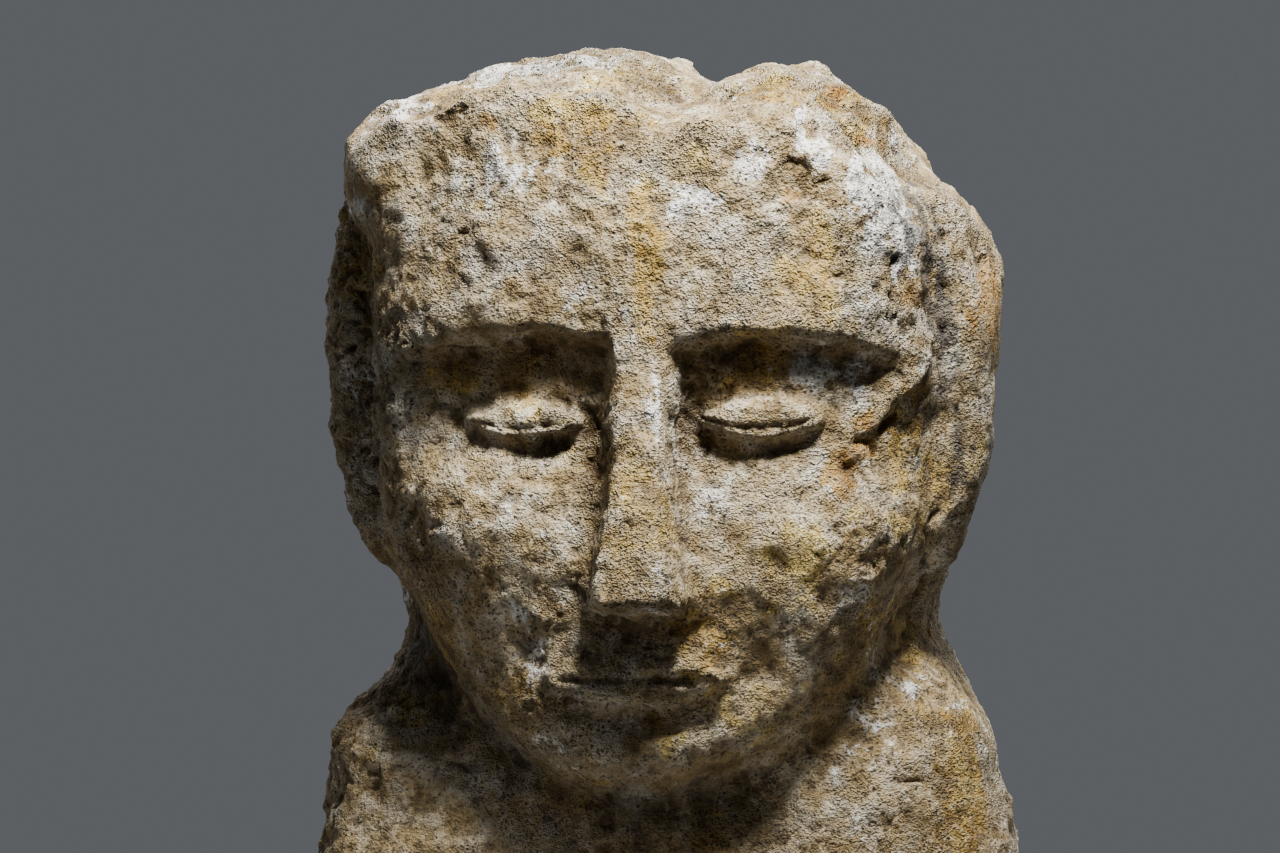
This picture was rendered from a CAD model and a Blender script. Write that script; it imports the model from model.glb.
import math

import bmesh
import bpy
import numpy as np
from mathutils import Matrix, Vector, noise


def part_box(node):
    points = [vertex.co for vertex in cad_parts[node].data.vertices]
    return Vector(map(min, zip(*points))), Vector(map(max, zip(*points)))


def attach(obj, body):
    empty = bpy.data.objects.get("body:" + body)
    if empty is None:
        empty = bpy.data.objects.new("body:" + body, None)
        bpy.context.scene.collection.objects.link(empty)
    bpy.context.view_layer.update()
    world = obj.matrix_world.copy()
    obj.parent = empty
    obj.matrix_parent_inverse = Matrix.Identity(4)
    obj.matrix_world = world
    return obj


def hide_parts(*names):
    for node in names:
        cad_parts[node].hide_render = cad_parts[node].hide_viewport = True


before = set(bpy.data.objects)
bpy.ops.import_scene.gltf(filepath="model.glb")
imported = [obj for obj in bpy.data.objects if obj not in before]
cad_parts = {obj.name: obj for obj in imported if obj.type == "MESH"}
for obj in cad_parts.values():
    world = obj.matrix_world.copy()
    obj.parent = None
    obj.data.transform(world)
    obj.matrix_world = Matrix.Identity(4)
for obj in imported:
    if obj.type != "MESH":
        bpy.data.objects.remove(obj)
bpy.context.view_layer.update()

# The bust's own sizes, read from the solid
LOW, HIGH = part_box("stone_bust")
TALL = HIGH.z - LOW.z
MIDDLE_LINE = TALL * -0.007  # the carving's middle, a little to the side of the block's
RIGHT_SIDE = TALL * -0.20  # the figure's right side lies beyond this

# The carved face, as shares of the height above the underside
CHIN = TALL * 0.273
HEAD = TALL - CHIN
EYE_LINE = CHIN + HEAD / 2
NOSE_BASE = CHIN + HEAD / 4
MOUTH_LINE = CHIN + HEAD / 6
EYE_WIDTH = TALL * 0.112
LID_DROP = EYE_WIDTH * 0.09
LID_LINE_WIDTH = EYE_WIDTH * 0.045
HALF_MOUTH = EYE_WIDTH * 0.72
MOUTH_LINE_WIDTH = EYE_WIDTH * 0.05
LIP_GROOVE_WIDTH = EYE_WIDTH * 0.11

# The flake lost from the left cheek: its corner (across, up), the slant of its edge and its reach
FLAKE_CORNER = Vector((TALL * 0.174, EYE_LINE - HEAD * 0.06))
FLAKE_SLANT = (0.69, 0.72)
FLAKE_REACH = 0.058
FLAKE_FILL = 0.0022  # stone laid back on it, because the solid's own flake is cut deeper

# Fineness of the stone's skin
SKIN_VOXEL = 0.00125
SKIN_TRIANGLES = 196000
SPARE = 0.020  # stone below the underside while the skin is worked, sawn off at the end
SMOOTH_PASSES = 20  # these wear the solid's facets away
ROUND_PASSES = 90  # these round a worn cut
# Passes that even out the skin around a hollow, and the depth of a full hollow
FINE_HOLLOW = (6, 0.00035)
BROAD_HOLLOW = (70, 0.0020)

# Sizes of the weathering's grains
LUMP_SIZE = 0.042
DENT_SIZE = 0.019
ROCK_SIZE = 0.026
CRUMBLE_SIZE = 0.0105
RIDGE_SIZE = 0.0075
BREAK_SIZE = 0.026
SMALL_BREAK_SIZE = 0.0095
CLAW_SIZE = 0.0065
FOLD_SIZE = 0.011
RAGGED_SIZE = 0.013
CRUMBLING_SIZE = 0.048  # of the areas that crumble
BEND_SIZE = 0.009  # of the sway that bends the other grains
BEND = 0.0045
# The pits: spacing, radius and the share of the grid's cells that hold one
SMALL_PITS = (0.0088, 0.0028, 0.22)
LARGE_PITS = (0.024, 0.0062, 0.25)
# How much of its height a grain keeps where it is drawn out upwards
CLAW_STRETCH = (1, 1, 0.28)
FOLD_STRETCH = (1, 1, 0.22)
STREAK_STRETCH = (1, 1, 0.14)
STAIN_STRETCH = (1, 1, 0.5)

# Depths of the weathering
LUMP_DEPTH = 0.0017
DENT_DEPTH = LUMP_DEPTH * 0.9
CRUMBLE_DEPTH = 0.0012
RIDGE_DEPTH = CRUMBLE_DEPTH * 1.3
ROCK_DEPTH = 0.0007
PIT_DEPTH = 0.0024
CHISEL_DEPTH = 0.0010
CLAW_DEPTH = 0.0010
BREAK_DEPTH = 0.0028
LINE_DEPTH = 0.0016
FOLD_DEPTH = 0.0020
RAGGED_DEPTH = 0.0018

# Turn of the slanting chisel marks, leaning to the figure's right
CLAW_TURN = np.array(((0.82, 0.0, -0.57), (0.0, 1.0, 0.0), (0.57, 0.0, 0.82)))
# The chisel strokes on the forehead: middle and reach (across, up), and the width of one
STROKES_MIDDLE = (MIDDLE_LINE - TALL * 0.115, TALL * 0.868)
STROKES_REACH = (0.030, 0.022)
STROKE_WIDTH = 0.0085

# Spreads the centres of neighbouring grains over cells of their own
CELL_STEP = 7.31

# Sizes of the stains' edges, drifts of colour and streaks
EDGE_SIZE = 0.012
DRIFT_SIZE = 0.050
OTHER_DRIFT_SIZE = 0.045
STREAK_SIZE = 0.0045

# The stone's own colour and its grains, from dark to pale: place on the noise and colour
STONE_STOPS = (
    (0.370, (0.240, 0.170, 0.080)),
    (0.445, (0.390, 0.295, 0.155)),
    (0.500, (0.480, 0.395, 0.255)),
    (0.550, (0.550, 0.480, 0.360)),
    (0.620, (0.730, 0.700, 0.620)),
)
GRAIN_STOPS = (
    (0.360, (0.46, 0.43, 0.39)),
    (0.450, (0.80, 0.78, 0.75)),
    (0.540, (1.00, 0.99, 0.97)),
    (0.630, (1.00, 1.00, 1.00)),
)
# Glazes, which tint the stone under them
SOIL = (0.68, 0.61, 0.50)
OCHRE = (1.0, 0.81, 0.31)
RUST = (0.72, 0.50, 0.21)
SHADE = (0.42, 0.33, 0.23)
GRIME = (0.13, 0.13, 0.145)
# Covering colours
LIME = (0.85, 0.86, 0.85)
DIRT = (0.130, 0.100, 0.066)
WORN_STONE = (0.70, 0.66, 0.57)
CRUST = (0.075, 0.070, 0.066)
PORE = (0.080, 0.066, 0.050)
SPECK = (0.070, 0.060, 0.050)
# The material's relief, gloss and plainer back
RELIEF_DEPTH = 0.0050
RELIEF_MIDDLE = 0.72
STONE_GLOSS = 0.25
BACK_SHARE = 0.55
STONE_ROW = 500  # where the stone's colour runs through the node tree

# The photograph's camera
LENS = 100
SENSOR = 36
CAMERA_AZIMUTH = math.radians(6)
CAMERA_DISTANCE = 1.53
CAMERA_TARGET = Vector((-0.010, -0.020, 0.277))

# The studio: its floor, its grey wall as the camera sees it, and what the wall casts
FLOOR_RADIUS = 0.68
FLOOR_COLOUR = (0.25, 0.25, 0.245, 1)
WALL_COLOUR = (0.112, 0.118, 0.127, 1)
WALL_CAST = (0.010, 0.0105, 0.011, 1)
LIGHT_TARGET = Vector((0, 0, TALL * 0.80))
# Soft boxes: name, azimuth, elevation, distance, size, power, colour and spread
SOFT_BOXES = [
    ("key", 27, 59, 0.73, 0.19, 6.6, (1.0, 0.97, 0.91), 90),
    ("side", -68, 25, 1.6, 0.8, 1.9, (0.97, 0.98, 1.0), 180),
    ("rear_left", 150, 24, 1.8, 1.2, 21.0, (0.95, 0.97, 1.0), 180),
    ("rear_right", -145, 24, 1.6, 1.2, 13.0, (0.97, 0.98, 1.0), 180),
]

# Marks on the stone: centre (across, forward, up), reach (across, up) and strength
OCHRE_MARKS = [
    ((-0.035, -0.096, 0.403), (0.018, 0.016), 1.0),
    ((-0.022, -0.100, 0.382), (0.014, 0.012), 0.8),
    ((-0.001, -0.103, 0.369), (0.010, 0.018), 0.9),
    ((0.003, -0.105, 0.341), (0.008, 0.026), 1.1),
    ((-0.081, -0.083, 0.296), (0.016, 0.009), 1.0),
    ((-0.052, -0.089, 0.298), (0.010, 0.012), 0.8),
    ((0.053, -0.071, 0.417), (0.014, 0.009), 1.2),
    ((0.077, -0.033, 0.416), (0.012, 0.010), 1.2),
    ((0.087, -0.045, 0.402), (0.010, 0.012), 1.1),
    ((0.130, -0.040, 0.132), (0.010, 0.045), 1.1),
    ((0.104, -0.025, 0.186), (0.012, 0.018), 0.8),
    ((0.056, -0.103, 0.223), (0.034, 0.024), 0.7),
    ((0.023, -0.098, 0.398), (0.016, 0.010), 0.6),
    ((-0.010, -0.060, 0.424), (0.030, 0.008), 0.7),
    ((-0.060, -0.070, 0.418), (0.026, 0.008), 0.6),
    ((0.030, -0.090, 0.160), (0.040, 0.014), 0.6),
    ((0.102, -0.068, 0.270), (0.016, 0.016), 0.9),
]
PALE_MARKS = [
    ((-0.107, -0.062, 0.411), (0.030, 0.012), 0.8),
    ((-0.046, -0.045, 0.430), (0.050, 0.010), 0.9),
    ((0.0632, -0.092, 0.399), (0.0030, 0.013), 1.5),
    ((0.0885, -0.070, 0.387), (0.010, 0.009), 1.6),
    ((0.0945, -0.082, 0.373), (0.012, 0.014), 1.7),
    ((0.0990, -0.081, 0.358), (0.012, 0.015), 1.7),
    ((0.1040, -0.078, 0.342), (0.008, 0.012), 1.3),
    ((0.0700, -0.088, 0.388), (0.016, 0.010), 0.6),
    ((0.082, -0.030, 0.423), (0.012, 0.004), 1.2),
    ((0.096, -0.040, 0.401), (0.006, 0.010), 1.0),
    ((-0.055, -0.098, 0.382), (0.026, 0.014), 0.6),
    ((0.006, -0.114, 0.284), (0.004, 0.024), 1.0),
    ((0.018, -0.101, 0.370), (0.013, 0.009), 1.0),
    ((0.039, -0.100, 0.386), (0.020, 0.010), 0.6),
    ((0.075, -0.086, 0.298), (0.024, 0.010), 0.8),
    ((0.108, -0.037, 0.166), (0.004, 0.009), 1.1),
    ((0.124, -0.035, 0.148), (0.004, 0.018), 1.1),
]
CRUST_MARKS = [
    ((0.107, -0.055, 0.369), (0.006, 0.012), 1.1),
    ((0.112, -0.058, 0.356), (0.007, 0.014), 1.2),
    ((0.116, -0.053, 0.340), (0.006, 0.016), 1.1),
    ((0.121, -0.050, 0.322), (0.006, 0.016), 0.9),
    ((0.121, -0.051, 0.300), (0.006, 0.024), 0.8),
    ((0.128, -0.041, 0.267), (0.007, 0.018), 1.0),
    ((0.100, -0.082, 0.348), (0.007, 0.007), 0.95),
]
RUST_MARKS = [
    ((0.108, -0.075, 0.332), (0.009, 0.009), 1.3),
    ((0.138, -0.039, 0.330), (0.009, 0.018), 1.3),
    ((0.076, -0.032, 0.417), (0.006, 0.006), 1.2),
    ((0.090, -0.048, 0.397), (0.008, 0.005), 1.3),
    ((0.084, -0.038, 0.409), (0.004, 0.007), 1.1),
    ((0.081, -0.080, 0.260), (0.007, 0.013), 1.5),
    ((0.089, -0.077, 0.268), (0.009, 0.006), 1.3),
    ((0.096, -0.072, 0.277), (0.014, 0.007), 1.1),
    ((0.110, -0.060, 0.291), (0.010, 0.007), 1.0),
    ((0.060, -0.094, 0.372), (0.012, 0.007), 0.7),
    ((-0.135, -0.042, 0.143), (0.012, 0.016), 0.5),
    ((-0.129, -0.049, 0.405), (0.008, 0.006), 0.7),
    ((-0.064, -0.094, 0.402), (0.007, 0.006), 0.8),
]
# Where fine black specks sit on the stone: centre, reach (across, up) and strength
SPECK_MARKS = [
    ((0.096, -0.080, 0.366), (0.022, 0.032), 1.1),
    ((0.075, -0.050, 0.405), (0.036, 0.026), 1.0),
    ((0.118, -0.050, 0.320), (0.016, 0.050), 0.6),
    ((0.040, -0.095, 0.385), (0.045, 0.026), 0.5),
    ((-0.010, -0.080, 0.412), (0.090, 0.026), 1.1),
    ((-0.030, -0.040, 0.430), (0.090, 0.016), 1.1),
]
# Places where the stone crumbles more (above 0) or less (below 0): centre, reach (across, forward, up)
# and share
ROUGH_PLACES = [
    ((0.080, -0.088, 0.352), (0.036, 0.050, 0.030), 0.7),
    ((0.135, -0.020, 0.300), (0.030, 0.060, 0.100), 0.2),
    ((-0.135, -0.030, 0.300), (0.030, 0.060, 0.120), 0.7),
    ((-0.142, -0.020, 0.125), (0.022, 0.060, 0.050), 0.8),
    ((0.075, -0.050, 0.410), (0.040, 0.060, 0.030), 0.5),
    ((-0.095, -0.080, 0.405), (0.040, 0.040, 0.022), 0.3),
    ((-0.115, -0.075, 0.370), (0.030, 0.050, 0.045), -0.4),
    ((-0.090, -0.060, 0.125), (0.058, 0.060, 0.055), -1.2),
    ((0.056, -0.095, 0.206), (0.055, 0.060, 0.045), -0.7),
    ((0.010, -0.070, 0.110), (0.080, 0.050, 0.050), -0.5),
    ((0.000, -0.100, 0.385), (0.050, 0.040, 0.030), -0.2),
    ((-0.020, -0.050, 0.428), (0.110, 0.070, 0.018), 0.4),
]
# Small moves of the block: centre, reach (across, forward, up) and move
TOUCHES = [
    ((0.130, -0.010, 0.364), (0.040, 0.090, 0.034), (0.0060, 0.0, 0.0020)),
    ((0.090, -0.030, 0.415), (0.030, 0.100, 0.030), (0.0030, 0.0, 0.0060)),
    ((-0.145, -0.010, 0.372), (0.040, 0.100, 0.048), (0.0042, 0.0, 0.0)),
    ((-0.140, -0.030, 0.405), (0.028, 0.080, 0.026), (0.0020, 0.0, -0.0015)),
    ((0.146, 0.000, 0.130), (0.040, 0.090, 0.060), (0.0036, 0.0, 0.0)),
    ((-0.150, 0.000, 0.108), (0.040, 0.090, 0.060), (0.0040, 0.0, 0.0)),
    ((-0.064, -0.020, 0.438), (0.026, 0.120, 0.022), (0.0, 0.0, -0.0034)),
    ((0.111, -0.020, 0.394), (0.024, 0.120, 0.026), (-0.0040, 0.0, -0.0052)),
    ((-0.124, -0.076, 0.372), (0.034, 0.050, 0.050), (-0.0065, -0.0030, 0.0)),
    ((0.113, -0.060, 0.290), (0.020, 0.034, 0.024), (0.0035, -0.0040, 0.0)),
]
# Long cuts: the points they run through, width and depth
ROLL_GROOVE = [
    (0.1110, -0.0480, 0.3850), (0.1129, -0.0452, 0.3721), (0.1170, -0.0480, 0.3450),
    (0.1197, -0.0509, 0.3173), (0.1266, -0.0407, 0.2797), (0.1287, -0.0413, 0.2671),
    (0.1233, -0.0407, 0.2461), (0.1130, -0.0482, 0.2337), (0.1101, -0.0183, 0.2071),
]
FLAKE_EDGE = [
    (0.1193, -0.0512, 0.3027), (0.1071, -0.0609, 0.2901), (0.0952, -0.0749, 0.2764),
    (0.0785, -0.0825, 0.2635), (0.0845, -0.0815, 0.2500),
]
CUTS = [
    (ROLL_GROOVE, 0.0070, 0.0022),
    (FLAKE_EDGE, 0.0080, 0.0020),
    ([(-0.094, -0.060, 0.1335), (-0.086, -0.063, 0.1355), (-0.078, -0.064, 0.1340)], 0.0045, 0.0018),
    ([(0.088, -0.065, 0.1240), (0.100, -0.060, 0.1290), (0.116, -0.052, 0.1300)], 0.0040, 0.0016),
    ([(0.109, -0.037, 0.170), (0.112, -0.038, 0.160)], 0.0040, 0.0012),
]
# Where dark grime has gathered under the jaw and on the neck, and how wide it is
JAW_GRIME = [
    (-0.106, -0.034, 0.186), (-0.085, -0.050, 0.166), (-0.055, -0.060, 0.142),
    (-0.015, -0.068, 0.122), (0.030, -0.070, 0.120),
]
JAW_GRIME_WIDTH = 0.052
NECK_GRIME = [(-0.104, -0.030, 0.186), (-0.091, -0.052, 0.172), (-0.078, -0.060, 0.155)]
NECK_GRIME_WIDTH = 0.085
# Width of the dark crust along the side roll's groove
GROOVE_CRUST_WIDTH = 0.009
# Deeper pits: centre, width and depth
DEEP_PITS = [
    ((-0.129, -0.049, 0.405), 0.010, 0.0010),
    ((-0.108, -0.066, 0.413), 0.008, 0.0014),
    ((-0.082, -0.089, 0.407), 0.010, 0.0012),
    ((-0.064, -0.094, 0.400), 0.011, 0.0011),
    ((0.063, -0.095, 0.377), 0.012, 0.0022),
    ((0.071, -0.092, 0.373), 0.010, 0.0018),
    ((0.110, -0.073, 0.333), 0.018, 0.0015),
    ((0.138, -0.039, 0.334), 0.018, 0.0016),
    ((-0.135, -0.042, 0.143), 0.014, 0.0024),
    ((-0.139, -0.043, 0.117), 0.012, 0.0024),
]
# Places where the block's sharp cuts are worn rounder: centre, reach (across, forward, up) and share
WORN_PLACES = [
    ((0.122, -0.045, 0.285), (0.022, 0.040, 0.070), 0.95),
    ((0.100, -0.070, 0.282), (0.030, 0.034, 0.030), 0.35),
    ((0.081, -0.082, 0.260), (0.017, 0.030, 0.015), 0.60),
    ((0.128, -0.035, 0.258), (0.026, 0.045, 0.050), 0.75),
    ((-0.116, -0.015, 0.216), (0.030, 0.080, 0.030), 0.90),
    ((-0.118, -0.074, 0.365), (0.036, 0.040, 0.060), 0.40),
    ((0.000, 0.130, 0.420), (0.200, 0.060, 0.050), 0.95),
    ((-0.130, 0.060, 0.410), (0.040, 0.100, 0.040), 0.80),
    ((0.120, 0.060, 0.400), (0.040, 0.100, 0.040), 0.80),
]
# Places where the weathering is shallow: centre, reach (across, forward, up) and share
CALM_PLACES = [
    ((-0.124, -0.065, 0.388), (0.024, 0.045, 0.026), 0.70),
    ((0.130, -0.035, 0.262), (0.026, 0.045, 0.052), 0.55),
    ((0.106, -0.064, 0.268), (0.022, 0.030, 0.022), 0.55),
    ((0.143, -0.025, 0.316), (0.018, 0.050, 0.024), 0.65),
]
# Single places: centre and reach (across, forward, up)
CLEAN_SHOULDER = ((-0.116, -0.055, 0.126), (0.040, 0.050, 0.044))  # cleaner and greyer
RAGGED_EDGE = ((0.098, -0.072, 0.278), (0.034, 0.045, 0.036))  # the lost flake's edge
FOLDED_ROLL = ((0.126, -0.035, 0.312), (0.024, 0.055, 0.085))  # upright folds on the side roll
CLAW_TEMPLE = ((-0.098, -0.080, 0.378), (0.046, 0.060, 0.040))  # marks of a toothed chisel
CLAW_ROLL = ((0.132, -0.030, 0.310), (0.022, 0.060, 0.080))
CLAW_CHEST = ((0.090, -0.060, 0.130), (0.060, 0.050, 0.050))


def smooth_step(value):
    """0 below 0, 1 above 1 and an even curve between."""
    t = np.clip(value, 0.0, 1.0)
    return t * t * (3 - 2 * t)


def hump(value):
    """1 at 0, falling to 0 at -1 and 1."""
    return smooth_step(1 - np.abs(value))


def points_of(mesh):
    points = np.empty(len(mesh.vertices) * 3, np.float32)
    mesh.vertices.foreach_get("co", points)
    return points.reshape(-1, 3).astype(float)


def set_points(mesh, points):
    mesh.vertices.foreach_set("co", points.astype(np.float32).ravel())
    mesh.update()


def normals_of(mesh):
    normals = np.empty(len(mesh.vertices) * 3, np.float32)
    mesh.vertices.foreach_get("normal", normals)
    return normals.reshape(-1, 3).astype(float)


def grain(points, size, octaves, seed, roughness=1.0):
    """Even noise in grains of this size, about -1 to 1. Roughness 0 keeps the small ones as strong."""
    shift = Vector((seed * 1.7, -seed * 0.9, seed * 0.6))
    places = (points / size).tolist()
    return np.array([noise.fractal(Vector(place) + shift, roughness, 2.0, octaves) for place in places])


def sway(points, size, seed):
    """Even noise that moves each point its own way."""
    return np.stack([grain(points, size, 2, seed + axis) for axis in range(3)], axis=1)


def crests(points, size, octaves, seed):
    """Uneven noise with sharp crests and smooth hollows, about -1 to 1."""
    shift = Vector((seed * 1.3, seed * 0.8, -seed * 1.1))
    middle, half_range = 1.1, 0.45
    found = [
        noise.ridged_multi_fractal(Vector(place) + shift, 0.85, 2.1, octaves, 1.0, 2.0)
        for place in (points / size).tolist()
    ]
    return (np.array(found) - middle) / half_range


def facets(points, size, seed):
    """Flat broken faces of about this size, each with a tilt of its own, about -0.6 to 0.6."""
    shift = Vector((seed * 0.9, -seed * 1.3, seed * 0.5))
    level = Vector((0.5, 0.5, 0.5))
    blend_width = 0.25
    found = []
    for place in (points / size).tolist():
        spot = Vector(place) + shift
        distances, centres = noise.voronoi(spot)
        own, other = (
            2 * (spot - centre).dot(noise.cell_vector(centre * CELL_STEP) - level) for centre in centres[:2]
        )
        share = 0.5 + 0.5 * min((distances[1] - distances[0]) / blend_width, 1.0)
        found.append(own * share + other * (1 - share))
    return np.array(found)


def away_from(points, centre, reach):
    """How far each point lies from a place: 0 in its middle and 1 at its reach."""
    return np.linalg.norm((points - centre) / reach, axis=1)


def within(points, centre, reach):
    """1 in the middle of a place, falling to 0 a little past its reach."""
    return smooth_step(1.3 - away_from(points, centre, reach))


def behind(points, start, width):
    """0 in front of this place, rising to 1 over this width behind it."""
    return smooth_step((points[:, 1] - start) / width)


def in_front(points, start, width):
    """0 behind this place, rising to 1 over this width in front of it."""
    return smooth_step((start - points[:, 1]) / width)


def pits(points, spacing, radius, share, seed):
    """1 in the middle of a pit and 0 outside, for this share of the cells of a loose grid."""
    shift = Vector((seed, seed * 0.37, -seed * 0.71))
    found = np.zeros(len(points))
    for index, place in enumerate((points / spacing).tolist()):
        distances, centres = noise.voronoi(Vector(place) + shift)
        chance = abs(noise.cell(centres[0] * CELL_STEP))
        if chance < share:
            own_radius = radius / spacing * (0.6 + 0.8 * chance / share)
            found[index] = 1 - min(distances[0] / own_radius, 1.0)
    return smooth_step(found)


def spread_out(mesh, values, passes):
    """Evens values out over the mesh's edges, one ring of neighbours in each pass."""
    edges = np.empty(len(mesh.edges) * 2, np.int32)
    mesh.edges.foreach_get("vertices", edges)
    first, second, total = edges[0::2], edges[1::2], len(mesh.vertices)
    counts = np.maximum(np.bincount(first, minlength=total) + np.bincount(second, minlength=total), 1)
    even = values.copy()
    for _ in range(passes):
        for axis in range(even.shape[1]):
            column = even[:, axis]
            around = np.bincount(first, column[second], total) + np.bincount(second, column[first], total)
            even[:, axis] = 0.5 * column + 0.5 * around / counts
    return even


def hollow_of(mesh, points, normals, passes, full):
    """How deep each point lies under its surroundings: 0 on a ridge, 0.5 on a flat face and 1 in a hollow."""
    under = np.einsum("ij,ij->i", spread_out(mesh, points, passes) - points, normals)
    return np.clip(0.5 + 0.5 * under / full, 0, 1)


def apply_modifier(piece, kind, **settings):
    """Adds one modifier and keeps its result as the piece's own mesh."""
    modifier = piece.modifiers.new(kind.title(), kind)
    for name, value in settings.items():
        setattr(modifier, name, value)
    graph = bpy.context.evaluated_depsgraph_get()
    made = bpy.data.meshes.new_from_object(piece.evaluated_get(graph))
    piece.modifiers.clear()
    piece.data = made


def put_in(name, data):
    """An object of this name in the scene."""
    thing = bpy.data.objects.new(name, data)
    bpy.context.scene.collection.objects.link(thing)
    return thing


def fine_copy():
    """A copy of the solid in small even faces, its facets worn away, with spare stone at the underside."""
    bm = bmesh.new()
    bm.from_mesh(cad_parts["stone_bust"].data)
    bmesh.ops.remove_doubles(bm, verts=bm.verts[:], dist=SKIN_VOXEL * 0.01)
    underside = [vert for vert in bm.verts if vert.co.z < LOW.z + SKIN_VOXEL * 0.1]
    bmesh.ops.translate(bm, vec=(0, 0, -SPARE), verts=underside)
    mesh = bpy.data.meshes.new("limestone_bust")
    bm.to_mesh(mesh)
    bm.free()
    piece = put_in("limestone_bust", mesh)
    apply_modifier(piece, "REMESH", mode="VOXEL", voxel_size=SKIN_VOXEL, adaptivity=0.0)
    apply_modifier(piece, "SMOOTH", factor=0.5, iterations=SMOOTH_PASSES)
    return piece


def face_lines(points):
    """Worn lines of the closed lids, the mouth and the groove above it, as depth from 0 to 1."""
    across = np.abs(points[:, 0] - MIDDLE_LINE)
    height = points[:, 2]
    from_eye = (across - EYE_WIDTH) / (EYE_WIDTH * 0.50)
    lid = EYE_LINE - LID_DROP * (1 - from_eye**2)
    lid_line = hump((height - lid) / LID_LINE_WIDTH) * (np.abs(from_eye) < 1)
    mouth_line = hump((height - MOUTH_LINE) / MOUTH_LINE_WIDTH)
    mouth_line *= smooth_step((HALF_MOUTH - across) / 0.006)
    above_lip = hump((height - (MOUTH_LINE + NOSE_BASE) / 2 - 0.002) / 0.010)
    above_lip *= hump(across / LIP_GROOVE_WIDTH)
    return np.clip(lid_line + mouth_line + 0.6 * above_lip, 0, 1) * in_front(points, LOW.y * 0.62, 0.01)


def crown_share(points, normals):
    """1 on the broken surfaces of the crown and 0 on the carved faces."""
    up = smooth_step((normals[:, 2] - 0.20) / 0.35)
    high = smooth_step((points[:, 2] - TALL * 0.84) / (TALL * 0.05))
    return up * high


def flake_share(points):
    """1 inside the place of the flake lost from the cheek."""
    across = points[:, 0] - FLAKE_CORNER.x
    height = points[:, 2] - FLAKE_CORNER.y
    up_edge = across * FLAKE_SLANT[0] + height * FLAKE_SLANT[1]
    below = across * FLAKE_SLANT[1] - height * FLAKE_SLANT[0]
    inside = smooth_step(below / 0.004) * smooth_step(1 - below / FLAKE_REACH)
    inside *= smooth_step(up_edge / 0.008 + 0.5) * smooth_step((FLAKE_REACH - up_edge) / 0.012)
    return inside * in_front(points, -0.030, 0.02)


def claw_marks(points):
    """Fine marks of a toothed chisel: slanting on the right temple and the chest, upright on the roll."""
    upright = grain(points * CLAW_STRETCH, 0.0060, 2, 41.0)
    slanted = grain(points @ CLAW_TURN * CLAW_STRETCH, CLAW_SIZE, 2, 43.0)
    temple, roll, chest = (
        smooth_step(1.25 - away_from(points, *place)) for place in (CLAW_TEMPLE, CLAW_ROLL, CLAW_CHEST)
    )
    return slanted * np.maximum(temple, 0.6 * chest) + upright * roll


def chisel_strokes(points):
    """Short upright strokes left by a narrow chisel on the right half of the forehead."""
    across = points[:, 0] - STROKES_MIDDLE[0]
    height = points[:, 2] - STROKES_MIDDLE[1]
    lane = across / STROKE_WIDTH
    wobble = np.sin(height * 190 + np.floor(lane) * 2.1) * 0.18
    groove = hump((lane + wobble - np.floor(lane + wobble) - 0.5) / 0.42)
    place = smooth_step((STROKES_REACH[0] - np.abs(across)) / 0.010)
    place *= smooth_step((STROKES_REACH[1] - np.abs(height)) / 0.010)
    return groove * place * in_front(points, LOW.y * 0.55, 0.01)


def deep_pits(points, edge):
    """Depth of the pits that have their own places, with a ragged edge."""
    depth = np.zeros(len(points))
    for centre, width, deep in DEEP_PITS:
        inside = smooth_step(1.35 - away_from(points, centre, width / 2) + edge * 1.1)
        depth = np.maximum(depth, deep * inside)
    return depth


def along(points, path, width):
    """1 on a line that runs through these places, falling to 0 half its width away."""
    nearest = np.full(len(points), np.inf)
    for start, end in zip(np.array(path[:-1]), np.array(path[1:])):
        step = end - start
        share = np.clip((points - start) @ step / (step @ step), 0, 1)
        nearest = np.minimum(nearest, np.linalg.norm(points - start - np.outer(share, step), axis=1))
    return hump(nearest / (width / 2))


def touch_up(points):
    """Small moves of the worked block at the crown, the sides and the shoulders' ends."""
    for centre, reach, move in TOUCHES:
        points = points + np.outer(smooth_step(1 - away_from(points, centre, reach)), move)
    return points


def wear(piece):
    """Rounds the block's worn cuts, fills the lost flake a little and makes its edge ragged."""
    points = touch_up(points_of(piece.data))
    points[:, 1] -= FLAKE_FILL * flake_share(points)
    rounder = spread_out(piece.data, points, ROUND_PASSES)
    for centre, reach, share in WORN_PLACES:
        points += (rounder - points) * (share * within(points, centre, reach))[:, None]
    ragged = sway(points, RAGGED_SIZE, 51.0)
    points += ragged * RAGGED_DEPTH * within(points, *RAGGED_EDGE)[:, None]
    set_points(piece.data, points)
    return points


def crumbling_share(points, bend):
    """How much the stone crumbles: 0 where it is sound and up to 1.5 where it is worst."""
    crumbling = smooth_step((grain(points, CRUMBLING_SIZE, 2, 4.0) + 0.25) / 0.7)
    crumbling += 0.5 * smooth_step((RIGHT_SIDE - points[:, 0]) / 0.03)
    for centre, reach, share in ROUGH_PLACES:
        crumbling += share * smooth_step(1.2 - away_from(points, centre, reach) + bend[:, 0] * 60)
    return np.clip(crumbling, 0, 1.5) * (1 - 0.4 * behind(points, 0.02, 0.04))


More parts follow.
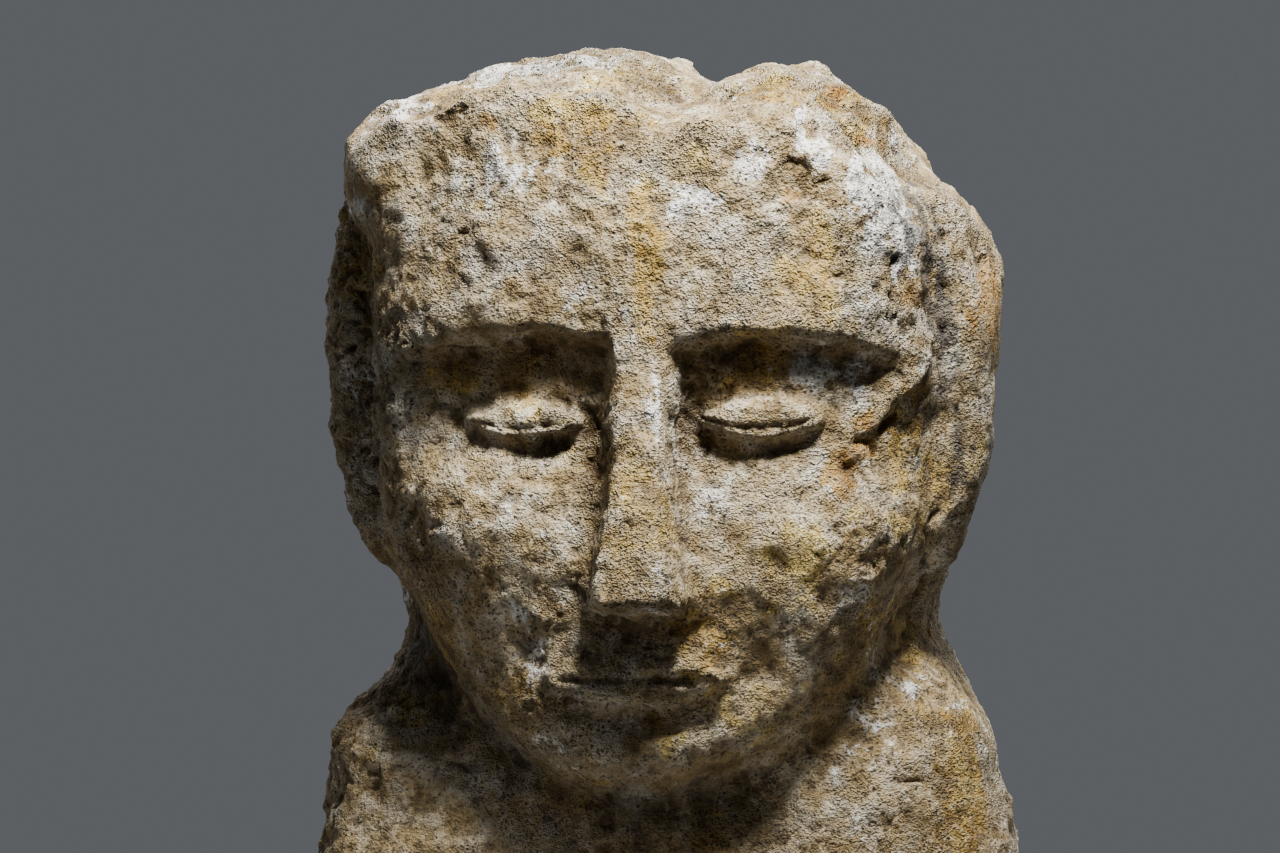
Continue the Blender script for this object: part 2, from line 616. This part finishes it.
def weather(piece):
    """Cuts the worn relief into the skin and returns the share of crumbling stone."""
    points = wear(piece)
    normals = normals_of(piece.data)
    broken = np.clip(crown_share(points, normals) + 0.7 * flake_share(points), 0, 1)
    carved = 1 - 0.75 * broken
    side = behind(points, -0.05, 0.05)
    bend = sway(points, BEND_SIZE, 31.0) * BEND
    crumbling = crumbling_share(points, bend)
    lumps = grain(points, LUMP_SIZE, 2, 1.0)
    dents = np.abs(grain(points + bend, DENT_SIZE, 2, 6.0))
    rock = crests(points + bend * 0.7, ROCK_SIZE, 4, 7.0)
    crumble = grain(points + bend, CRUMBLE_SIZE, 3, 2.0, 0.7)
    ridges = grain(points + bend, RIDGE_SIZE, 2, 3.0, 0.7)
    ridges = np.abs(ridges) * (1 - side) + 0.5 * ridges * side  # sharp in front, soft at the sides
    large_breaks = facets(points + bend * 0.6, BREAK_SIZE, 5.0)
    small_breaks = facets(points + bend * 0.8, SMALL_BREAK_SIZE, 6.0)
    small_pits = pits(points + bend * 1.3, *SMALL_PITS, 11.0) * crumbling
    large_pits = pits(points + bend * 1.6, *LARGE_PITS, 23.0)
    folds = grain((points + bend * 0.5) * FOLD_STRETCH, FOLD_SIZE, 2, 45.0)

    depth = -LUMP_DEPTH * lumps + DENT_DEPTH * dents * carved
    depth -= ROCK_DEPTH * rock * (0.60 + 0.50 * crumbling) * carved
    depth -= CRUMBLE_DEPTH * crumble * (0.42 + 0.62 * crumbling * carved)
    depth += RIDGE_DEPTH * ridges * (0.15 + 0.80 * crumbling * carved)
    depth += PIT_DEPTH * 0.40 * small_pits + PIT_DEPTH * 0.45 * large_pits
    depth += deep_pits(points + bend, crumble)
    for path, width, deep in CUTS:
        depth += deep * along(points + bend * 0.6, path, width)
    depth += CHISEL_DEPTH * chisel_strokes(points) + CLAW_DEPTH * claw_marks(points)
    depth += BREAK_DEPTH * broken * (1.5 * large_breaks + 0.45 * small_breaks)
    depth += FOLD_DEPTH * folds * within(points, *FOLDED_ROLL)
    for centre, reach, share in CALM_PLACES:
        depth *= 1 - share * within(points, centre, reach)
    depth += LINE_DEPTH * face_lines(points) * (0.85 + 0.5 * crumble)
    set_points(piece.data, points - normals * depth[:, None])
    return crumbling


def marks(points, places, edge):
    """Strength of the listed marks at each point, with a ragged edge."""
    total = np.zeros(len(points))
    for (across, forward, up), (half_width, half_height), strength in places:
        away = np.hypot((points[:, 0] - across) / half_width, (points[:, 2] - up) / half_height)
        near = smooth_step(1.5 - np.abs(points[:, 1] - forward) / 0.03)
        total = np.maximum(total, strength * near * smooth_step(1.30 - away + edge * 0.75))
    return total


def patches(drift, start):
    """1 where a drift of colour is strong, and 0 where it is weaker than this start."""
    return smooth_step((drift - start) / 0.5)


def stain(piece, crumbling):
    """Keeps the masks for the material on the skin."""
    points = points_of(piece.data)
    normals = normals_of(piece.data)
    edge = grain(points * STAIN_STRETCH, EDGE_SIZE, 4, 8.0, 0.6)
    drift = grain(points, DRIFT_SIZE, 4, 9.0, 0.8)
    other_drift = grain(points, OTHER_DRIFT_SIZE, 4, 12.0, 0.8)

    ochre = np.maximum(marks(points, OCHRE_MARKS, edge), 0.65 * patches(drift, 0.12))
    pale = np.maximum(marks(points, PALE_MARKS, edge), 0.45 * patches(other_drift, 0.10))
    lit_from_above = smooth_step((normals[:, 2] - 0.35) / 0.5)
    pale = np.maximum(pale, 0.32 * lit_from_above * smooth_step(0.4 + edge * 2.0))
    pale *= 1 - 0.75 * np.clip(ochre, 0, 1)
    groove = along(points, ROLL_GROOVE, GROOVE_CRUST_WIDTH)
    streaks = grain(points * STREAK_STRETCH, STREAK_SIZE, 2, 47.0)
    crust = np.maximum(marks(points, CRUST_MARKS, edge), 0.75 * groove)
    crust *= 0.55 + 0.75 * smooth_step(0.5 + streaks * 1.6)
    rust = marks(points, RUST_MARKS, edge)

    low = smooth_step((TALL * 0.62 - points[:, 2]) / (TALL * 0.35))
    right_side = smooth_step((RIGHT_SIDE - points[:, 0]) / 0.06)
    soil = 0.55 * low + 0.45 * right_side + 0.30 * drift - 0.70 * within(points, *CLEAN_SHOULDER)
    soil = np.clip(soil, 0, 1)
    fine = hollow_of(piece.data, points, normals, *FINE_HOLLOW)
    broad = hollow_of(piece.data, points, normals, *BROAD_HOLLOW)

    specks = np.maximum(marks(points, SPECK_MARKS, edge), 0.45 * patches(drift + other_drift, 0.05))
    grime = along(points, JAW_GRIME, JAW_GRIME_WIDTH)
    grime = np.maximum(grime, along(points, NECK_GRIME, NECK_GRIME_WIDTH))
    grime *= smooth_step(0.9 + edge * 0.8)
    plain = behind(points, -0.02, 0.05)
    unused = np.ones(len(points))  # a colour attribute always has four channels
    for name, masks in (
        ("stone_marks", (ochre, pale, crust, rust)),
        ("stone_form", (fine, broad, crumbling / 1.5, soil)),
        ("stone_dirt", (specks, grime, plain, unused)),
    ):
        attribute = piece.data.color_attributes.new(name, "FLOAT_COLOR", "POINT")
        attribute.data.foreach_set("color", np.stack(masks, axis=1).astype(np.float32).ravel())


def thin_out(piece):
    """Takes faces from the back and the top of the skin, which are plainer, and few from the front."""
    away = behind(points_of(piece.data), -0.045, 0.06) * 0.85 + 0.15
    group = piece.vertex_groups.new(name="away")
    levels = 12
    steps = np.round(away * levels).astype(int)
    for step in range(1, levels + 1):
        group.add(np.flatnonzero(steps == step).tolist(), step / levels, "REPLACE")
    piece.data.calc_loop_triangles()
    share = min(1.0, SKIN_TRIANGLES / len(piece.data.loop_triangles))
    apply_modifier(
        piece, "DECIMATE", decimate_type="COLLAPSE", ratio=share, vertex_group="away",
        vertex_group_factor=0.00001, use_collapse_triangulate=True,
    )
    piece.vertex_groups.clear()


def saw_flat(piece):
    """The sawn underside."""
    bm = bmesh.new()
    bm.from_mesh(piece.data)
    everything = bm.verts[:] + bm.edges[:] + bm.faces[:]
    bmesh.ops.bisect_plane(bm, geom=everything, plane_co=(0, 0, LOW.z), plane_no=(0, 0, 1), clear_inner=True)
    rim = [edge for edge in bm.edges if edge.is_boundary]
    bmesh.ops.contextual_create(bm, geom=rim)
    bmesh.ops.dissolve_degenerate(bm, dist=SKIN_VOXEL * 0.05, edges=bm.edges[:])
    bmesh.ops.triangulate(bm, faces=[face for face in bm.faces if len(face.verts) > 3])
    bmesh.ops.recalc_face_normals(bm, faces=bm.faces[:])
    for face in bm.faces:
        face.smooth = True
    bm.to_mesh(piece.data)
    bm.free()
    piece.data.set_sharp_from_angle(angle=math.radians(70))


def node(tree, kind, place, **values):
    """One shader node at this place in the tree, with its own values set."""
    made = tree.nodes.new(kind)
    made.location = place
    for name, value in values.items():
        if name in made.inputs:
            made.inputs[name].default_value = value
        else:
            setattr(made, name, value)
    return made


def noise_node(tree, place, coordinates, scale, detail, roughness):
    made = node(tree, "ShaderNodeTexNoise", place, Scale=scale, Detail=detail, Roughness=roughness)
    tree.links.new(coordinates, made.inputs["Vector"])
    return made.outputs["Fac"]


def cells_node(tree, place, coordinates, scale):
    made = node(tree, "ShaderNodeTexVoronoi", place, Scale=scale)
    tree.links.new(coordinates, made.inputs["Vector"])
    return made


def remap(tree, place, value, low, high, to_low=0.0, to_high=1.0):
    made = node(tree, "ShaderNodeMapRange", place, interpolation_type="SMOOTHSTEP")
    for name, number in (("From Min", low), ("From Max", high), ("To Min", to_low), ("To Max", to_high)):
        made.inputs[name].default_value = number
    tree.links.new(value, made.inputs["Value"])
    return made.outputs["Result"]


def fill(tree, sockets, values):
    """Sets each socket to its value, or links it where the value is another socket."""
    for socket, value in zip(sockets, values):
        if isinstance(value, (int, float, tuple)):
            socket.default_value = value
        else:
            tree.links.new(value, socket)


def maths(tree, place, operation, first, second, clamp=False):
    made = node(tree, "ShaderNodeMath", place, operation=operation, use_clamp=clamp)
    fill(tree, made.inputs, (first, second))
    return made.outputs["Value"]


def plus(tree, place, value, other, share):
    """A value with this share of another added to it, or taken away where the share is below 0."""
    x, y = place
    part = maths(tree, (x - 150, y - 150), "MULTIPLY", other, share)
    return maths(tree, place, "ADD", value, part)


def mixture(tree, place, first, first_share, second, second_share):
    """The sum of these shares of two values."""
    x, y = place
    part = maths(tree, (x - 150, y), "MULTIPLY", first, first_share)
    return plus(tree, place, part, second, second_share)


def blend(tree, place, share, first, second, kind="MIX"):
    made = node(tree, "ShaderNodeMix", place, data_type="RGBA", blend_type=kind)
    fill(tree, (made.inputs[0], made.inputs[6], made.inputs[7]), (share, first, second))
    return made.outputs[2]


def paint(tree, place, stone, mark, strength, colour, kind="MIX"):
    """The stone's colour with another laid over it at a mark. The place is its column, and the mark's row."""
    column, row = place
    share = maths(tree, (200, row), "MULTIPLY", mark, strength)
    return blend(tree, (column, STONE_ROW), share, stone, (*colour, 1), kind)


def ramp(tree, place, value, stops):
    made = node(tree, "ShaderNodeValToRGB", place)
    elements = made.color_ramp.elements
    while len(elements) < len(stops):
        elements.new(0.5)
    for element, (position, colour) in zip(elements, stops):
        element.position = position
        element.color = (*colour, 1)
    tree.links.new(value, made.inputs["Fac"])
    return made.outputs["Color"]


def mask(tree, place, mark, breakup, weight, low, high):
    """A mark with its edge broken up by the grain of the stone."""
    x, y = place
    ragged = node(tree, "ShaderNodeMath", place, operation="MULTIPLY_ADD")
    fill(tree, ragged.inputs, (breakup, weight, -0.5 * weight))
    return remap(tree, (x + 400, y), maths(tree, (x + 200, y), "ADD", mark, ragged.outputs[0]), low, high)


def read_masks(tree, place, name):
    x, y = place
    attribute = node(tree, "ShaderNodeAttribute", place, attribute_name=name)
    split = node(tree, "ShaderNodeSeparateColor", (x + 200, y))
    tree.links.new(attribute.outputs["Color"], split.inputs["Color"])
    return (*split.outputs[:3], attribute.outputs["Alpha"])


def new_material(name):
    """A new material and its shader."""
    material = bpy.data.materials.new(name)
    material.use_nodes = True
    return material, material.node_tree.nodes["Principled BSDF"]


def limestone():
    """Porous limestone: beige grains, stains, dark crust, dirt in the hollows and fine pores."""
    material, shader = new_material("limestone")
    tree = material.node_tree
    shader.location = (2300, 0)
    tree.nodes["Material Output"].location = (2600, 0)
    place = node(tree, "ShaderNodeTexCoord", (-1400, 0)).outputs["Object"]
    ochre_mark, pale_mark, crust_mark, rust_mark = read_masks(tree, (-1400, -500), "stone_marks")
    fine_hollow, broad_hollow, crumbling, soil = read_masks(tree, (-1400, -800), "stone_form")
    speck_mark, grime, plain = read_masks(tree, (-1400, -1100), "stone_dirt")[:3]
    even = remap(tree, (-1000, -1100), plain, 0.0, 1.0, 1.0, BACK_SHARE)

    # Noises, each with its scale, detail and roughness
    broad = noise_node(tree, (-1000, 600), place, 26, 4, 0.6)
    middling = noise_node(tree, (-1000, 400), place, 75, 2, 0.60)
    nooks = noise_node(tree, (-1000, -400), place, 105, 2, 0.55)
    cluster = noise_node(tree, (-1000, -200), place, 140, 3, 0.6)
    fine = noise_node(tree, (-1000, 200), place, 330, 3, 0.75)
    grit = noise_node(tree, (-1000, 0), place, 900, 1, 0.70)
    sand = noise_node(tree, (1000, -300), place, 1650, 0, 0.5)
    mottle = mixture(tree, (-800, -400), middling, 0.55, fine, 0.45)

    # The stone's own colour
    tone = mixture(tree, (-600, 500), middling, 0.60, broad, 0.40)
    stone = ramp(tree, (-400, STONE_ROW), tone, STONE_STOPS)
    grains = ramp(tree, (-400, 300), mixture(tree, (-600, 300), fine, 0.45, grit, 0.55), GRAIN_STOPS)
    stone = blend(tree, (-100, STONE_ROW), 1.0, stone, grains, "MULTIPLY")

    # Soil, ochre, lime and rust
    soiled = mask(tree, (-400, 0), soil, middling, 0.6, 0.15, 0.85)
    stone = paint(tree, (200, 0), stone, soiled, 0.85, SOIL, "MULTIPLY")
    ochre = mask(tree, (-400, -200), ochre_mark, middling, 2.8, 0.30, 0.95)
    stone = paint(tree, (400, -200), stone, ochre, 0.92, OCHRE, "MULTIPLY")
    pale = mask(tree, (-400, -400), pale_mark, mottle, 4.5, 0.52, 0.86)
    pale = maths(tree, (200, -400), "MULTIPLY", pale, remap(tree, (0, -300), fine, 0.34, 0.50, 0.30, 0.88))
    stone = blend(tree, (600, STONE_ROW), pale, stone, (*LIME, 1))
    rust = mask(tree, (-400, -600), rust_mark, mottle, 4.0, 0.50, 0.85)
    stone = paint(tree, (800, -600), stone, rust, 0.90, RUST, "MULTIPLY")

    # Dirt in the hollows, broad shade, worn ridges and crust
    nook = remap(tree, (-800, -900), nooks, 0.56, 0.36, -0.22, 0.34)
    hollow = maths(tree, (-600, -900), "ADD", fine_hollow, nook)
    dirt = mask(tree, (-400, -800), hollow, fine, 1.2, 0.55, 0.98)
    dirt = maths(tree, (100, -700), "MULTIPLY", dirt, even)
    stone = paint(tree, (1000, -800), stone, dirt, 0.66, DIRT)
    shade = mask(tree, (-400, -1000), broad_hollow, middling, 0.5, 0.58, 1.0)
    stone = paint(tree, (1200, -1000), stone, shade, 0.85, SHADE, "MULTIPLY")
    worn = remap(tree, (0, -1200), fine_hollow, 0.42, 0.10)
    stone = paint(tree, (1400, -1200), stone, worn, 0.18, WORN_STONE)
    crust = mask(tree, (-400, -1400), crust_mark, mottle, 3.0, 0.40, 0.95)
    stone = paint(tree, (1600, -1400), stone, crust, 0.82, CRUST)

    # Pores, black specks, the grains between them and grime under the jaw
    pore = remap(tree, (-400, -1600), plus(tree, (-600, -1600), grit, cluster, 0.7), 0.70, 0.62)
    stone = paint(tree, (1800, -1600), stone, pore, 0.7, PORE)
    dots = cells_node(tree, (-800, -2000), place, 400)
    dot_kind = node(tree, "ShaderNodeSeparateColor", (-600, -2100))
    tree.links.new(dots.outputs["Color"], dot_kind.inputs["Color"])
    rare = plus(tree, (-400, -2200), speck_mark, middling, 1.6)
    rare = maths(tree, (-200, -2200), "SUBTRACT", rare, dot_kind.outputs[0])
    dot = remap(tree, (-400, -1900), dots.outputs["Distance"], 0.33, 0.19)
    dot = maths(tree, (0, -2000), "MULTIPLY", dot, remap(tree, (0, -2200), rare, 0.45, 0.70))
    stone = paint(tree, (1900, -2000), stone, dot, 0.85, SPECK)
    pepper = mixture(tree, (1400, 0), grit, 0.45, sand, 0.55)
    pepper = remap(tree, (1600, 0), pepper, 0.40, 0.58, 0.62, 1.12)
    peppered = maths(tree, (1800, 100), "MULTIPLY", speck_mark, 0.80, clamp=True)
    stone = blend(tree, (1950, STONE_ROW), peppered, stone, pepper, "MULTIPLY")
    stone = paint(tree, (2000, -2400), stone, grime, 0.92, GRIME, "MULTIPLY")
    tree.links.new(stone, shader.inputs["Base Color"])

    # The same grains, specks, crumbs and pores as fine relief
    relief = mixture(tree, (1300, -300), fine, 0.55, grit, 0.65)
    relief = plus(tree, (1400, -300), relief, sand, 0.40)
    relief = plus(tree, (1450, -300), relief, dot, -0.22)
    crumbs = cells_node(tree, (1000, -600), place, 560)
    crumb = remap(tree, (1000, -900), cluster, 0.42, 0.62, 0.0, 0.34)
    crumb = maths(tree, (1200, -600), "MULTIPLY", crumbs.outputs["Distance"], crumb)
    relief = maths(tree, (1500, -400), "SUBTRACT", relief, crumb)
    relief = plus(tree, (1600, -300), relief, pore, -0.25)
    relief = maths(tree, (1700, -400), "SUBTRACT", relief, RELIEF_MIDDLE)
    patchy = remap(tree, (1200, -800), broad, 0.42, 0.58, -0.30, 0.35)
    patchy = maths(tree, (1400, -700), "ADD", crumbling, patchy)
    patchy = plus(tree, (1500, -700), patchy, pale, -0.25)
    patchy = remap(tree, (1600, -700), patchy, 0.05, 0.75, 0.30, 1.10)
    relief = maths(tree, (1800, -400), "MULTIPLY", relief, patchy)
    relief = plus(tree, (1850, -400), relief, nooks, 1.2)
    relief = maths(tree, (1880, -400), "MULTIPLY", relief, even)
    bump = node(tree, "ShaderNodeBump", (1900, -300), Strength=1.0, Distance=RELIEF_DEPTH)
    tree.links.new(relief, bump.inputs["Height"])
    tree.links.new(bump.outputs["Normal"], shader.inputs["Normal"])
    tree.links.new(remap(tree, (1800, 0), fine, 0.3, 0.7, 0.82, 0.97), shader.inputs["Roughness"])
    shader.inputs["Specular IOR Level"].default_value = STONE_GLOSS
    return material


def limestone_bust():
    """The finished bust, which stands for the whole solid."""
    piece = fine_copy()
    stain(piece, weather(piece))
    thin_out(piece)
    saw_flat(piece)
    piece.data.materials.clear()
    piece.data.materials.append(limestone())
    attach(piece, "root")
    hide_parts("stone_bust")


def pale_floor():
    """A plain round floor, small enough to stay out of the photograph's view."""
    bm = bmesh.new()
    bmesh.ops.create_circle(bm, cap_ends=True, segments=96, radius=FLOOR_RADIUS)
    mesh = bpy.data.meshes.new("floor")
    bm.to_mesh(mesh)
    bm.free()
    floor = put_in("floor", mesh)
    material, shader = new_material("pale_floor")
    shader.inputs["Base Color"].default_value = FLOOR_COLOUR
    shader.inputs["Roughness"].default_value = 0.9
    mesh.materials.append(material)


def aim(thing, target, back, distance):
    """Puts a light or the camera this far back from its target, and turns it to look at it."""
    thing.location = target + back * distance
    thing.rotation_mode = "QUATERNION"
    thing.rotation_quaternion = (-back).to_track_quat("-Z", "Y")


def soft_box(name, azimuth, elevation, distance, size, power, colour, spread):
    """A square soft box that looks at the middle of the head."""
    lamp = bpy.data.lights.new(name, "AREA")
    lamp.size = size
    lamp.energy = power
    lamp.color = colour
    lamp.spread = math.radians(spread)
    a, e = math.radians(azimuth), math.radians(elevation)
    back = Vector((math.sin(a) * math.cos(e), -math.cos(a) * math.cos(e), math.sin(e)))
    aim(put_in(name, lamp), LIGHT_TARGET, back, distance)


def studio():
    """A grey wall that the camera sees and that hardly lights the stone, and the soft boxes."""
    world = bpy.data.worlds.new("studio")
    bpy.context.scene.world = world
    world.use_nodes = True
    tree = world.node_tree
    seen = tree.nodes["Background"]
    seen.inputs["Color"].default_value = WALL_COLOUR
    cast = node(tree, "ShaderNodeBackground", (0, -200), Color=WALL_CAST)
    both = node(tree, "ShaderNodeMixShader", (300, 0))
    tree.links.new(node(tree, "ShaderNodeLightPath", (0, 300)).outputs["Is Camera Ray"], both.inputs[0])
    tree.links.new(cast.outputs[0], both.inputs[1])
    tree.links.new(seen.outputs[0], both.inputs[2])
    tree.links.new(both.outputs[0], tree.nodes["World Output"].inputs["Surface"])
    for box in SOFT_BOXES:
        soft_box(*box)


def photo_camera():
    """The photograph's own view: level with the eyes and a little to the figure's left."""
    camera = bpy.data.cameras.new("camera")
    camera.lens = LENS
    camera.sensor_width = SENSOR
    camera.dof.use_dof = False
    seat = put_in("camera", camera)
    back = Vector((math.sin(CAMERA_AZIMUTH), -math.cos(CAMERA_AZIMUTH), 0))
    aim(seat, CAMERA_TARGET, back, CAMERA_DISTANCE)
    bpy.context.scene.camera = seat


photo_camera()
studio()
pale_floor()
limestone_bust()
